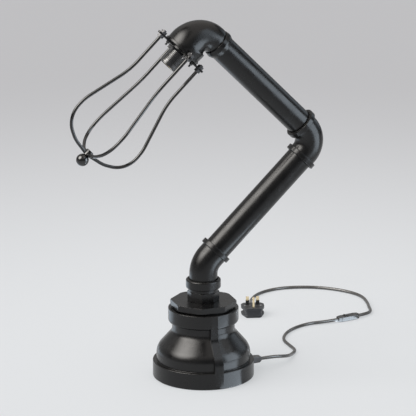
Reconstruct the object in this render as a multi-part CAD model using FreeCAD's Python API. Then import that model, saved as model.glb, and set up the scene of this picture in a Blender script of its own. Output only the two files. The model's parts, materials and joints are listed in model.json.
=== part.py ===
import FreeCAD, Part
import math
import os

# Industrial pipe table lamp. Millimetres and degrees.
# Origin: centre of the base's underside. +Z up. The arm leans towards +X and the head points back to -X.
# The cord leaves the base along +X and lies on the table.

V = FreeCAD.Vector

# ------------------------------------------------------------------ driving dimensions

# clearances
fixed_gap = 0.05          # radial gap of a screwed or glued joint
turning_gap = 0.3         # radial gap of a joint that turns
face_gap = 0.1            # gap between faces that slide on each other

# cord and inner cable
cord_diameter = 7.0
cord_rest = 0.1           # daylight under a cord that lies on the table

# base casting: a bell reducer with a band at each end
pad_thickness = 2.0
pad_inset = 3.0
base_body_radius = 95.5
base_band_stand_out = 7.5
base_band_height = 35.0
base_shoulder_height = 61.0
base_shoulder_round = 32.0
base_neck_radius = 63.7
base_neck_height = 97.2   # where the cone meets the neck
base_neck_round = 16.0
neck_band_stand_out = 7.7
neck_band_bottom = 115.0
base_height = 145.0
base_wall = 7.5
rib_foot_width = 20.5
rib_top_width = 14.0
rib_stand_out = 3.0
rib_azimuths = (90.0, 270.0)

# base plate and its screws
base_plate_thickness = 4.2
base_plate_inset = 9.5
plate_screw_count = 4
plate_screw_radius = 2.5
plate_screw_length = 16.0
plate_screw_azimuth = 45.0
screw_boss_radius = 7.5
screw_boss_height = 18.0
screw_boss_root = 1.5     # boss into the casting's wall

# octagonal bush screwed into the neck
bush_thread_depth = 0.8   # neck's bore over its inner wall
bush_thread_length = 29.0
bush_thread_wall = 8.0
bush_lift = 2.8           # thread left showing between neck and plate
bush_corner_inset = 4.1   # plate's corners inside the neck band
bush_plate_thickness = 12.2
octagon_azimuth = 22.5

# small octagonal nut with its nipple
nut_corner_radius = 32.4
nut_height = 20.0
nipple_radius = 26.0
nipple_length = 22.0
nipple_bore = 20.0

# swivel collar
collar_neck_radius = 30.0
collar_neck_height = 7.0
collar_wall = 6.8         # bead over the elbow that turns in it
collar_bead_height = 18.0
collar_seat_depth = 12.0
collar_skirt_length = 9.0
collar_skirt_outer = 27.5
collar_skirt_inner = 24.3
spigot_radius = 18.0
spigot_bore = 12.0
spigot_length = 22.6
thrust_washer_thickness = 1.5
lock_ring_room = 0.8      # lock ring inside the collar's skirt
lock_ring_height = 5.3
seal_thickness = 2.4

# arm: two pipes and three elbows
lean = 45.0               # lower pipe from vertical
lower_corner_height = 235.3
lower_run = 341.0         # corner to corner along the lower pipe
upper_run = 345.5         # corner to corner along the upper pipe
pipe_radius = 26.75
pipe_wall = 3.2
elbow_stand_out = 1.85    # elbow's body over the pipe
elbow_wall = 5.6
bead_stand_out = 6.55     # bead over the pipe
bead_length = 10.5
socket_depth = 16.0
lower_elbow_reach = 42.5
lower_elbow_bend = 50.0
elbow_reach = 53.0
middle_elbow_bend = 39.0
top_elbow_bend = 37.0
top_elbow_middle_swell = 3.4  # the top elbow swells from its ring to its mouth
top_elbow_mouth_swell = 10.4
cap_lip = 1.8             # cap over the elbow's mouth
head_groove_setback = 38.6  # groove between the top elbow and its collar
head_groove_width = 3.4
head_collar_end = 60.5
head_collar_swell = 4.0   # collar over the pipe at its thickest
head_reach = 55.2
clip_thickness = 1.6
clip_height = 3.2
clip_groove_depth = 1.4
clip_setback = 8.0        # from the pipe's end to the clip
clip_opening = 6.0

# head: cap, cage plate and lampholder, measured along the head's axis from the top corner
cap_thickness = 4.9
cap_spigot_length = 10.0
thread_bore_room = 0.3    # nipple's bore over the inner cable
thread_wall = 1.2         # M10 lamp nipple
thread_nut_wall = 3.5
thread_nut_height = 4.0
nipple_overrun = 2.0
cage_plate_thickness = 4.0
cage_plate_disc = 24.0
cage_arm_width = 12.0
cage_arm_reach = 64.0
cage_bolt_inset = 5.2     # bolt circle inside the elbow's mouth
cage_bolt_radius = 2.0
cage_bolt_length = 14.0
cage_bolt_tail = 5.6      # thread that stands beyond the nut
cage_nut_radius = 4.0
cage_nut_height = 3.2

# bulb cage: four bent wires that meet in a hub
wire_count = 4
wire_radius = 3.4
wire_circle = 53.6
wire_stub = 7.5           # thread that stands above the plate
wire_nut_radius = 7.0
wire_nut_height = 5.4
cage_flare_start = 156.0
cage_flare_bend = 170.0
cage_belly_near = (261.0, 84.0, 100.0)   # distance, radius, bend
cage_belly_far = (308.5, 82.0, 52.0)
cage_nose = (330.0, 40.0, 60.0)
cage_tip = 335.8
hub_radius = 7.8
hub_start = 326.5
hub_length = 12.5
wire_end_gap = 0.8
ball_radius = 12.7
ball_centre = 350.4
ball_stud_radius = 2.5
ball_stud_length = 8.0
hub_screw_radius = 1.5
hub_screw_length = 4.5
hub_screw_height = 3.2    # above the hub's start
hub_screw_proud = 1.6

# E27 lampholder
holder_radius = 18.9
holder_length = 36.5
holder_wall = 1.8
holder_end_thickness = 2.9
holder_shoulder = 4.0
holder_thread_pitch = 2.5
holder_thread_depth = 0.6
holder_thread_count = 9
ring_stand_out = 1.3
ring_length = 4.5
ring_setback = 1.6
socket_radius = 13.5      # bore of the brass screw shell
socket_wall = 0.6
socket_setback = 1.2
insert_gap = 0.2
insert_floor = 7.0
contact_radius = 4.0
contact_height = 2.5

# strain relief in the bottom band
relief_height = 21.0
relief_width = 15.2
relief_tip_width = 13.4
relief_length = 21.5      # outside the band
relief_sunk = 1.5         # into the band
relief_corner = 2.4
relief_nose = (4.0, 2.6)  # length and depth of the chamfered nose
relief_thread_wall = 2.5
relief_thread_length = 19.5
relief_nut_radius = 10.0
relief_nut_thickness = 5.0

# inline switch
switch_start = V(384.0, 240.0, 0.0)
switch_azimuth = 14.0
switch_length = 54.0
switch_half_width = 8.5
switch_end_half_width = 5.4
switch_taper = 9.0
switch_split = 5.4
switch_height = 11.0
switch_wall = 1.8
switch_groove_offset = 6.0    # from each end
switch_groove_width = 1.6
switch_groove_depth = 0.7
switch_screw_bite = 3.6       # thread above the split
switch_screw_head = (2.2, 1.4)    # radius and height
switch_screw_shank = 1.1
switch_screw_sunk = 0.4
switch_screw_inset = 5.5
terminal_size = (5.0, 5.2, 4.6)
rocker_half_length = 9.4
rocker_half_width = 3.9
rocker_pivot_height = 7.2
rocker_tilt = 7.0
rocker_crown = 5.2
rocker_dip = 1.1
rocker_depth = 3.0
rocker_pin_radius = 1.0
rocker_gap = 0.4

# three-pin plug, lying on its back with the pins up
plug_origin = V(229.2, 352.4, 0.0)       # midway between the two line pins
plug_azimuth = -14.0
plug_height = 21.5
plug_face_thickness = 6.0
plug_waist_height = 10.0
plug_waist_inset = 0.8
plug_grip = 6.5           # depth of the finger grips in the plug's sides
plug_half_width = 25.0
plug_front_half_width = 17.0
plug_rear = 13.5
plug_front = 33.0
plug_back_draft = 0.8
plug_wall = 3.0
plug_cavity_reach = (-26.5, 6.5)
plug_cavity_rib = 0.6     # wall between cavity and screw
line_pin_spacing = 22.2
line_pin_size = (6.35, 3.96, 17.7)
earth_pin_size = (3.96, 7.92, 22.7)
earth_pin_offset = 22.2
sleeve_length = 9.5
sleeve_wall = 0.5
pin_root = 7.0
fuse_radius = 3.15
fuse_length = 25.4
carrier_size = (28.0, 8.6)
carrier_centre = -9.6
carrier_proud = 0.3
carrier_slot = (8.0, 2.0, 1.0)
plug_screw_offset = (17.3, -8.0)
plug_screw_radius = 2.4
plug_screw_head_height = 2.0
plug_screw_shank = 1.4
plug_screw_bite = 2.5     # thread below the pin face
bush_radius = 6.0
bush_tip_radius = 4.8
bush_length = 12.0
bush_neck_radius = 4.8
bush_neck_length = 3.0
plug_cord_height = 9.0

# route of the cord on the table: corner points of the tube, chosen by hand
cord_radius = cord_diameter / 2
lying = cord_radius + cord_rest
base_radius = base_body_radius + base_band_stand_out
relief_end = base_radius + relief_length
cord_to_switch = (
    V(relief_end, 0.0, relief_height),
    V(152.3, 0.0, 22.5),
    V(183.5, 11.3, 16.0),
    V(207.8, 47.0, 5.2),
    V(228.9, 76.3, lying),
    V(227.0, 110.8, lying),
    V(226.7, 154.8, lying),
    V(257.9, 205.5, lying),
    V(311.5, 238.5, lying),
    V(358.2, 233.6, 5.2),
    V(384.0, 240.0, 5.2),
)
cord_to_plug = (
    V(436.4, 253.06, 5.2),
    V(458.7, 258.6, 5.2),
    V(475.6, 275.8, 4.2),
    V(482.3, 304.3, lying),
    V(492.2, 340.2, lying),
    V(497.4, 387.6, lying),
    V(479.8, 428.9, lying),
    V(444.3, 466.9, lying),
    V(398.5, 491.6, lying),
    V(340.7, 500.2, lying),
    V(288.3, 479.3, lying),
    V(256.8, 440.4, 3.8),
    V(242.2, 404.5, 6.5),
    V(235.37, 377.14, 9.0),
)
cord_bend_share = 0.45    # each bend takes this share of its shorter run

# ------------------------------------------------------------------ sizes that follow from them

plate_bottom = pad_thickness
plate_top = plate_bottom + base_plate_thickness
plate_radius = base_radius - base_plate_inset
inner_body_radius = base_body_radius - base_wall
inner_neck_radius = base_neck_radius - base_wall
plate_screw_circle = inner_body_radius - screw_boss_radius + screw_boss_root
cone_angle = math.atan2(base_body_radius - base_neck_radius, base_neck_height - base_shoulder_height)
wall_drop = base_wall * math.tan(cone_angle / 2)
neck_band_radius = base_neck_radius + neck_band_stand_out
bush_thread_radius = inner_neck_radius + bush_thread_depth
bush_corner_radius = neck_band_radius - bush_corner_inset
relief_seat = base_radius - relief_sunk
relief_thread_radius = cord_radius + relief_thread_wall

elbow_radius = pipe_radius + elbow_stand_out
elbow_bore = elbow_radius - elbow_wall
bead_radius = pipe_radius + bead_stand_out
mouth_radius = elbow_radius + top_elbow_mouth_swell
cage_bolt_circle = mouth_radius - cage_bolt_inset
collar_bead_radius = elbow_radius + collar_wall
lock_ring_radius = collar_skirt_inner - lock_ring_room

bush_bottom = base_height + bush_lift
bush_top = bush_bottom + bush_plate_thickness
nut_top = bush_top + nut_height
collar_bead_bottom = nut_top + collar_neck_height
collar_top = collar_bead_bottom + collar_bead_height
collar_seat = collar_top - collar_seat_depth
elbow_foot = collar_seat + thrust_washer_thickness + face_gap
spigot_foot = elbow_foot - spigot_length
swivel_plane = collar_seat - 3.0         # where the inner cable turns

pipe_start = lower_elbow_reach - socket_depth + face_gap
swivel_stop = elbow_reach - socket_depth + turning_gap

thread_bore = cord_radius + thread_bore_room
thread_radius = thread_bore + thread_wall
thread_nut_radius = thread_radius + thread_nut_wall
cap_start = head_reach
cage_plate_start = cap_start + cap_thickness
holder_start = cage_plate_start + cage_plate_thickness
holder_end = holder_start + holder_length
ring_radius = holder_radius + ring_stand_out
insert_radius = holder_radius - holder_wall - insert_gap
wire_end_radius = wire_radius * math.sqrt(2) + wire_end_gap
insert_bottom = holder_start + holder_end_thickness + thread_nut_height + face_gap
hub_end = hub_start + hub_length

# ------------------------------------------------------------------ shape helpers


def on_axis(distance):
    """Point on the local Z axis."""
    return V(0, 0, distance)


def tangent_path(points, bends, closed=False):
    """Straight runs joined by tangent arcs; a bend of 0 leaves a sharp corner."""
    count = len(points)
    corners = range(count) if closed else range(1, count - 1)
    arrive = list(points)
    depart = list(points)
    arcs = [None] * count
    for i in corners:
        if bends[i] <= 0:
            continue
        corner = points[i]
        back = (points[i - 1] - corner).normalize()
        ahead = (points[(i + 1) % count] - corner).normalize()
        half_turn = (math.pi - back.getAngle(ahead)) / 2
        setback = bends[i] * math.tan(half_turn)
        middle = (back + ahead).normalize()
        depth = bends[i] / math.cos(half_turn) - bends[i]
        arrive[i] = corner + back * setback
        depart[i] = corner + ahead * setback
        arcs[i] = Part.Arc(arrive[i], corner + middle * depth, depart[i]).toShape()
    edges = []
    for i in range(count):
        if arcs[i]:
            edges.append(arcs[i])
        following = (i + 1) % count
        last = i == count - 1
        if last and not closed:
            break
        if depart[i].distanceToPoint(arrive[following]) > 1e-6:
            edges.append(Part.LineSegment(depart[i], arrive[following]).toShape())
    return Part.Wire(edges)


def flat_outline(corners, place):
    """Closed face from (a, b) or (a, b, round) corners; place maps a and b to a point."""
    points = [place(corner[0], corner[1]) for corner in corners]
    bends = [corner[2] if len(corner) > 2 else 0 for corner in corners]
    return Part.Face(tangent_path(points, bends, closed=True))


def turned(corners):
    """Body of revolution about Z from (radius, height) corners."""
    face = flat_outline(corners, lambda radius, height: V(radius, 0, height))
    return face.revolve(V(0, 0, 0), V(0, 0, 1), 360)


def prism(corners, bottom, height):
    """Upright prism from (x, y) corners."""
    face = flat_outline(corners, lambda x, y: V(x, y, bottom))
    return face.extrude(V(0, 0, height))


def cylinder(radius, bottom, top):
    return Part.makeCylinder(radius, top - bottom, on_axis(bottom))


def tube(outer, inner, bottom, top):
    return cylinder(outer, bottom, top).cut(cylinder(inner, bottom, top))


def block(x_range, y_range, z_range):
    size = (x_range[1] - x_range[0], y_range[1] - y_range[0], z_range[1] - z_range[0])
    return Part.makeBox(*size, V(x_range[0], y_range[0], z_range[0]))


def swept_rod(points, bends, radius):
    """Round rod along straight runs and tangent arcs."""
    path = tangent_path(points, bends)
    circle = Part.Circle(points[0], points[1] - points[0], radius)
    return path.makePipeShell([Part.Wire(circle.toShape())], True, False)


def polygon_ring(corner_radius, sides, azimuth):
    """Corners of a regular polygon."""
    step = 360.0 / sides
    angles = [math.radians(azimuth + step * i) for i in range(sides)]
    return [(corner_radius * math.cos(a), corner_radius * math.sin(a)) for a in angles]


def nut(corner_radius, bore, bottom, top, sides=6, azimuth=0.0):
    body = prism(polygon_ring(corner_radius, sides, azimuth), bottom, top - bottom)
    return body.cut(cylinder(bore, bottom, top))


def bevelled_nut(corner_radius, sides, azimuth, bottom, top, bevel):
    """Polygon prism whose corners are turned off at both ends."""
    body = prism(polygon_ring(corner_radius, sides, azimuth), bottom, top - bottom)
    limit = turned([
        (0, bottom),
        (corner_radius - 2 * bevel, bottom),
        (corner_radius + 0.01, bottom + bevel),
        (corner_radius + 0.01, top - bevel),
        (corner_radius - 2 * bevel, top),
        (0, top),
    ])
    return body.common(limit)


def around_axis(shape, azimuth):
    turned_copy = shape.copy()
    turned_copy.rotate(V(0, 0, 0), V(0, 0, 1), azimuth)
    return turned_copy


def ring_of(shape, count, azimuth=0.0):
    """Separate copies of a shape spaced evenly about Z."""
    return [around_axis(shape, azimuth + 360.0 / count * i) for i in range(count)]


def placed(shape, position, axis, angle):
    """Copy of a shape moved from its local frame to the lamp's frame."""
    copy = shape.copy()
    copy.Placement = FreeCAD.Placement(position, FreeCAD.Rotation(axis, angle)).multiply(copy.Placement)
    return copy


# ------------------------------------------------------------------ the arm's frames

arm_side = V(0, 1, 0)
lower_axis = V(math.sin(math.radians(lean)), 0, math.cos(math.radians(lean)))
upper_axis = V(-math.cos(math.radians(lean)), 0, math.sin(math.radians(lean)))
lower_corner = on_axis(lower_corner_height)
middle_corner = lower_corner + lower_axis * lower_run
top_corner = middle_corner + upper_axis * upper_run


def on_lower_pipe(shape):
    """Local Z runs up the lower pipe from the lower corner."""
    return placed(shape, lower_corner, arm_side, lean)


def on_middle_elbow(shape):
    """Local Z leaves the middle corner along the upper pipe."""
    return placed(shape, middle_corner, arm_side, lean - 90)


def into_middle_elbow(shape):
    """Local Z enters the middle corner along the lower pipe."""
    return placed(shape, middle_corner, arm_side, lean)


def into_top_elbow(shape):
    """Local Z enters the top corner along the upper pipe."""
    return placed(shape, top_corner, arm_side, lean - 90)


def on_head(shape):
    """Local Z leaves the top corner along the head's axis."""
    return placed(shape, top_corner, arm_side, lean - 180)


# ------------------------------------------------------------------ output

nodes = []


def export(name, shapes):
    """Write one node; several separate solids stay separate in it."""
    if not isinstance(shapes, list):
        shapes = [shapes]
    solids = [solid for shape in shapes for solid in shape.Solids]
    node = solids[0] if len(solids) == 1 else Part.makeCompound(solids)
    for solid in solids:
        if not solid.isValid() or solid.Volume <= 0:
            print("bad solid in", name)
    node.exportStep("parts/" + name + ".step")
    nodes.append(name)


# ------------------------------------------------------------------ base


def base_rib(azimuth):
    """Flat-faced rib that runs from the neck band down to the bottom band."""
    shift = rib_stand_out / math.cos(cone_angle)
    slope = math.tan(cone_angle)
    top_face = neck_band_radius + 0.4
    foot_face = base_radius
    cone_at_shoulder = base_body_radius + shift
    top_corner_height = base_shoulder_height + (cone_at_shoulder - top_face) / slope
    foot_corner_height = base_shoulder_height + (cone_at_shoulder - foot_face) / slope
    inside = inner_neck_radius + base_wall / 2
    inside_foot = inner_body_radius + base_wall / 2
    inside_band = (plate_radius + turning_gap + base_radius) / 2
    side = [
        (inside, base_height - 1.0),
        (top_face, base_height - 1.0),
        (top_face, top_corner_height, base_neck_round),
        (foot_face, foot_corner_height, base_shoulder_round),
        (foot_face, plate_bottom),
        (inside_band, plate_bottom),
        (inside_band, base_band_height / 2),
        (inside_foot, base_band_height / 2),
        (inside_foot, base_shoulder_height),
        (inside, base_neck_height),
    ]
    half_foot = rib_foot_width / 2
    half_top = rib_top_width / 2
    slab = flat_outline(side, lambda radius, height: V(radius, -half_foot, height))
    slab = slab.extrude(V(0, rib_foot_width, 0))
    front = [
        (-half_foot, 0),
        (half_foot, 0),
        (half_top, base_height),
        (-half_top, base_height),
    ]
    wedge = flat_outline(front, lambda across, height: V(0, across, height))
    wedge = wedge.extrude(V(base_radius * 2, 0, 0))
    return around_axis(slab.common(wedge), azimuth)


def base_casting():
    bore = bush_thread_radius + fixed_gap
    thread_bottom = base_height - bush_thread_length + bush_lift
    shell = turned([
        (bore, base_height),
        (neck_band_radius, base_height, 1.2),
        (neck_band_radius, neck_band_bottom, 6.0),
        (base_neck_radius, neck_band_bottom, 1.4),
        (base_neck_radius, base_neck_height, base_neck_round),
        (base_body_radius, base_shoulder_height, base_shoulder_round),
        (base_body_radius, base_band_height, 0.8),
        (base_radius, base_band_height, 1.6),
        (base_radius, plate_bottom, 1.0),
        (plate_radius + turning_gap, plate_bottom),
        (plate_radius + turning_gap, plate_top),
        (inner_body_radius, plate_top),
        (inner_body_radius, base_shoulder_height - wall_drop, base_shoulder_round - base_wall),
        (inner_neck_radius, base_neck_height - wall_drop, base_neck_round + base_wall),
        (inner_neck_radius, thread_bottom),
        (bore, thread_bottom),
    ])
    boss = Part.makeCylinder(screw_boss_radius, screw_boss_height, V(plate_screw_circle, 0, plate_top))
    pilot_depth = plate_screw_length - base_plate_thickness
    pilot = Part.makeCylinder(
        plate_screw_radius + fixed_gap,
        pilot_depth + 0.5,
        V(plate_screw_circle, 0, plate_top),
    )
    shell = shell.fuse(ring_of(boss, plate_screw_count, plate_screw_azimuth))
    shell = shell.fuse([base_rib(azimuth) for azimuth in rib_azimuths])
    shell = shell.cut(ring_of(pilot, plate_screw_count, plate_screw_azimuth))
    half = relief_width / 2 + turning_gap
    pocket = block(
        (relief_seat, base_radius * 1.5),
        (-half, half),
        (relief_height - half, relief_height + half),
    )
    hole = Part.makeCylinder(
        relief_thread_radius + fixed_gap,
        base_radius,
        V(base_radius / 2, 0, relief_height),
        V(1, 0, 0),
    )
    return shell.cut([pocket, hole]).removeSplitter()


def base_plate():
    plate = turned([
        (0, plate_bottom),
        (plate_radius, plate_bottom, 0.4),
        (plate_radius, plate_top),
        (0, plate_top),
    ])
    return plate.cut(ring_of(plate_screw(fixed_gap), plate_screw_count, plate_screw_azimuth))


def plate_screw(gap=0.0):
    """Countersunk screw; with a gap it is the hole that takes the screw."""
    head = plate_screw_radius * 2 + gap
    shank = plate_screw_radius + gap
    end = plate_bottom + plate_screw_length
    body = turned([
        (0, plate_bottom),
        (head, plate_bottom),
        (shank, plate_bottom + plate_screw_radius),
        (shank, end),
        (0, end),
    ])
    body.translate(V(plate_screw_circle, 0, 0))
    return body


def rubber_pad():
    return turned([
        (0, 0),
        (base_radius - pad_inset, 0, 0.6),
        (base_radius - pad_inset, pad_thickness),
        (0, pad_thickness),
    ])


def octagon_bush():
    plate = bevelled_nut(bush_corner_radius, 8, octagon_azimuth, bush_bottom, bush_top, 1.0)
    thread_bottom = bush_bottom - bush_thread_length
    thread = tube(bush_thread_radius, bush_thread_radius - bush_thread_wall, thread_bottom, bush_bottom)
    boss = cylinder(nipple_radius + bush_thread_wall, bush_bottom - bush_thread_wall, bush_bottom)
    bore = cylinder(nipple_radius + fixed_gap, thread_bottom, bush_top)
    return plate.fuse([thread, boss]).cut(bore).removeSplitter()


def octagon_nut():
    body = bevelled_nut(nut_corner_radius, 8, octagon_azimuth, bush_top, nut_top, 1.2)
    nipple = cylinder(nipple_radius, bush_top - nipple_length, bush_top)
    skirt_room = cylinder(
        collar_skirt_outer + fixed_gap,
        nut_top - collar_skirt_length - face_gap,
        nut_top,
    )
    bore = cylinder(nipple_bore, bush_top - nipple_length, nut_top)
    return body.fuse(nipple).cut([skirt_room, bore]).removeSplitter()


def swivel_collar():
    seal_room = elbow_radius + turning_gap + seal_thickness
    return turned([
        (spigot_radius + turning_gap, nut_top),
        (collar_skirt_inner, nut_top),
        (collar_skirt_inner, nut_top - collar_skirt_length),
        (collar_skirt_outer, nut_top - collar_skirt_length),
        (collar_skirt_outer, nut_top),
        (collar_neck_radius, nut_top),
        (collar_neck_radius, collar_bead_bottom, 1.0),
        (collar_bead_radius, collar_bead_bottom, 2.0),
        (collar_bead_radius, collar_top, 3.0),
        (seal_room + face_gap, collar_top),
        (seal_room + face_gap, collar_top - seal_thickness),
        (elbow_radius + turning_gap, collar_top - seal_thickness),
        (elbow_radius + turning_gap, collar_seat),
        (spigot_radius + turning_gap, collar_seat),
    ])


def seal_ring(inner_radius, centre):
    """Round-section ring about Z."""
    return Part.makeTorus(inner_radius + seal_thickness / 2, seal_thickness / 2, on_axis(centre))


def strain_relief():
    """Local Z points out of the base; the cord leaves at the far end."""
    half = relief_width / 2
    tip = relief_tip_width / 2
    nose_length, nose_depth = relief_nose
    nose_start = relief_end - nose_length

    def section(half_width, corner, distance):
        square = [
            (half_width, half_width, corner),
            (-half_width, half_width, corner),
            (-half_width, -half_width, corner),
            (half_width, -half_width, corner),
        ]
        return flat_outline(square, lambda x, y: V(x, y, distance)).OuterWire

    sections = [
        section(half, relief_corner, relief_seat),
        section(tip, relief_corner, nose_start),
        section(tip - nose_depth, relief_corner, relief_end),
    ]
    boot = Part.makeLoft(sections, True, True)
    thread_end = relief_seat - relief_thread_length
    thread = cylinder(relief_thread_radius, thread_end, relief_seat + 1.0)
    bore = cylinder(cord_radius + fixed_gap, thread_end, relief_end)
    return placed(boot.fuse(thread).cut(bore), on_axis(relief_height), arm_side, 90)


def strain_relief_nut():
    face = math.sqrt(inner_body_radius ** 2 - relief_nut_radius ** 2) - face_gap
    ring = nut(relief_nut_radius, relief_thread_radius + fixed_gap, face - relief_nut_thickness, face)
    return placed(ring, on_axis(relief_height), arm_side, 90)


def inner_cable_base():
    points = [
        V(relief_end - face_gap, 0, relief_height),
        V(30, 0, relief_height),
        V(0, 0, relief_height + 54),
        V(0, 0, swivel_plane),
    ]
    return swept_rod(points, [0, 30, 30, 0], cord_radius)


def build_base():
    export("base_reducer", base_casting())
    export("base_plate", base_plate())
    export("base_plate_screws", ring_of(plate_screw(), plate_screw_count, plate_screw_azimuth))
    export("rubber_pad", rubber_pad())
    export("octagon_bush", octagon_bush())
    export("octagon_nut", octagon_nut())
    export("swivel_collar", swivel_collar())
    seal_inner = elbow_radius + turning_gap
    export("collar_seal", seal_ring(seal_inner, collar_top - seal_thickness / 2))
    washer_top = collar_seat + thrust_washer_thickness
    export("thrust_washer", tube(elbow_radius, spigot_radius + turning_gap, collar_seat, washer_top))
    export("strain_relief", strain_relief())
    export("strain_relief_nut", strain_relief_nut())
    export("inner_cable_base", inner_cable_base())


# ------------------------------------------------------------------ pipe fittings


def bead(bottom, top):
    """Raised band at the mouth of a fitting."""
    return turned([
        (elbow_bore, bottom),
        (bead_radius, bottom, 1.4),
        (bead_radius, top, 1.2),
        (elbow_bore, top),
    ])


def clip_groove(radius, distance):
    """Room for a spring clip that lies in the mouth of a turning joint."""
    half = clip_thickness / 2 + turning_gap
    return cylinder(radius, distance - half, distance + half)


def lower_elbow():
    outlet = lower_corner + lower_axis * lower_elbow_reach
    bends = [0, lower_elbow_bend, 0]
    body = swept_rod([on_axis(elbow_foot), lower_corner, outlet], bends, elbow_radius)
    spigot = cylinder(spigot_radius, spigot_foot, elbow_foot + 1.0)
    mouth = on_lower_pipe(bead(lower_elbow_reach - bead_length, lower_elbow_reach))
    body = body.fuse([spigot, mouth])
    hollow_start = on_axis(elbow_foot + (elbow_radius - elbow_bore))
    bore = swept_rod([hollow_start, lower_corner, outlet], bends, elbow_bore)
    cable_way = cylinder(spigot_bore, spigot_foot, hollow_start.z + 1.0)
    socket_bottom = lower_elbow_reach - socket_depth
    socket = on_lower_pipe(cylinder(pipe_radius + fixed_gap, socket_bottom, lower_elbow_reach))
    return body.cut([bore, cable_way, socket])


def lock_ring():
    """Ring nut on the spigot that holds the arm in the collar."""
    top = nut_top - face_gap
    return tube(lock_ring_radius, spigot_radius + fixed_gap, top - lock_ring_height, top)


def pipe(start, end, clip_at):
    """Pipe with a groove for the spring clip of its turning end."""
    half = clip_thickness / 2 + fixed_gap
    groove_radius = pipe_radius - clip_groove_depth
    groove = tube(pipe_radius + 1.0, groove_radius, clip_at - half, clip_at + half)
    return tube(pipe_radius, pipe_radius - pipe_wall, start, end).cut(groove)


def spring_clip(centre):
    """Open ring that sits in the pipe's groove and reaches into the elbow's groove."""
    inner = pipe_radius - clip_groove_depth + fixed_gap
    half = clip_thickness / 2
    ring = tube(inner + clip_height, inner, centre - half, centre + half)
    half_gap = clip_opening / 2
    span = (centre - clip_thickness, centre + clip_thickness)
    gap = block((0, bead_radius), (-half_gap, half_gap), span)
    return ring.cut(gap)


def middle_elbow():
    """Right-angle elbow whose both mouths turn on the pipes."""
    inlet = middle_corner - lower_axis * elbow_reach
    outlet = middle_corner + upper_axis * elbow_reach
    bends = [0, middle_elbow_bend, 0]
    body = swept_rod([inlet, middle_corner, outlet], bends, elbow_radius)
    bore = swept_rod([inlet, middle_corner, outlet], bends, elbow_bore)
    low_mouth = into_middle_elbow(bead(-elbow_reach, bead_length - elbow_reach))
    high_mouth = on_middle_elbow(bead(elbow_reach - bead_length, elbow_reach))
    socket_radius_free = pipe_radius + turning_gap
    low_socket = cylinder(socket_radius_free, -elbow_reach, socket_depth - elbow_reach)
    high_socket = cylinder(socket_radius_free, elbow_reach - socket_depth, elbow_reach)
    groove_radius = pipe_radius - clip_groove_depth + clip_height + 2 * turning_gap
    seat_radius = pipe_radius + turning_gap + seal_thickness
    clip_at = swivel_stop + clip_setback
    low_groove = clip_groove(groove_radius, -clip_at)
    high_groove = clip_groove(groove_radius, clip_at)
    low_seat = cylinder(seat_radius, -elbow_reach, seal_thickness - elbow_reach)
    high_seat = cylinder(seat_radius, elbow_reach - seal_thickness, elbow_reach)
    cuts = [bore]
    cuts += [into_middle_elbow(shape) for shape in (low_socket, low_groove, low_seat)]
    cuts += [on_middle_elbow(shape) for shape in (high_socket, high_groove, high_seat)]
    return body.fuse([low_mouth, high_mouth]).cut(cuts)


def top_elbow_body():
    """Swelling bend: enters along local Z, leaves along -X."""
    bend = top_elbow_bend
    steps = 8
    stations = [(V(0, 0, -head_groove_setback), V(0, 0, 1), 0.0)]
    for i in range(steps + 1):
        turn = math.pi / 2 * i / steps
        centre = V(bend * (math.cos(turn) - 1), 0, bend * (math.sin(turn) - 1))
        tangent = V(-math.sin(turn), 0, math.cos(turn))
        stations.append((centre, tangent, (i + 0.5) / (steps + 1)))
    stations.append((V(-head_reach, 0, 0), V(-1, 0, 0), 1.0))
    curve = 4 * top_elbow_middle_swell - top_elbow_mouth_swell
    rings = []
    for centre, tangent, share in stations:
        swell = curve * share + (top_elbow_mouth_swell - curve) * share ** 2
        circle = Part.Circle(centre, tangent, elbow_radius + swell)
        rings.append(Part.Wire(circle.toShape()))
    return Part.makeLoft(rings, True, False)


def head_collar():
    """Collar of the top elbow: swells a little, then runs down to the pipe."""
    ring_end = head_groove_setback + head_groove_width
    thick = pipe_radius + head_collar_swell
    thickest = (ring_end + head_collar_end) / 2
    neck = elbow_bore + head_groove_width
    return turned([
        (elbow_bore, -head_collar_end),
        (pipe_radius + 0.5, -head_collar_end),
        (thick, -thickest, 7.0),
        (elbow_radius + 0.6, -ring_end, 1.0),
        (neck, -ring_end),
        (neck, -head_groove_setback),
        (elbow_bore, -head_groove_setback),
    ])


def top_elbow():
    head_axis = lower_axis * -1
    inlet = top_corner - upper_axis * head_collar_end
    outlet = top_corner + head_axis * head_reach
    bore = swept_rod([inlet, top_corner, outlet], [0, top_elbow_bend, 0], elbow_bore)
    socket = into_top_elbow(cylinder(pipe_radius + fixed_gap, -head_collar_end, socket_depth - elbow_reach))
    holes = ring_of(cage_bolt(fixed_gap), wire_count)
    body = into_top_elbow(top_elbow_body()).fuse(into_top_elbow(head_collar()))
    return body.cut([bore, socket] + [on_head(hole) for hole in holes])


def build_arm():
    clip_at = swivel_stop + clip_setback
    lower_end = lower_run - swivel_stop
    upper_end = upper_run - elbow_reach + socket_depth - face_gap
    seal_inner = pipe_radius + turning_gap
    seal_at = elbow_reach - seal_thickness / 2
    export("lower_elbow", lower_elbow())
    export("lock_ring", lock_ring())
    export("lower_pipe", on_lower_pipe(pipe(pipe_start, lower_end, lower_run - clip_at)))
    export("lower_joint_clip", on_lower_pipe(spring_clip(lower_run - clip_at)))
    export("middle_elbow", middle_elbow())
    low_seal = into_middle_elbow(seal_ring(seal_inner, -seal_at))
    high_seal = on_middle_elbow(seal_ring(seal_inner, seal_at))
    export("elbow_seals", [low_seal, high_seal])
    export("upper_pipe", on_middle_elbow(pipe(swivel_stop, upper_end, clip_at)))
    export("upper_joint_clip", on_middle_elbow(spring_clip(clip_at)))
    export("top_elbow", top_elbow())


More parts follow.
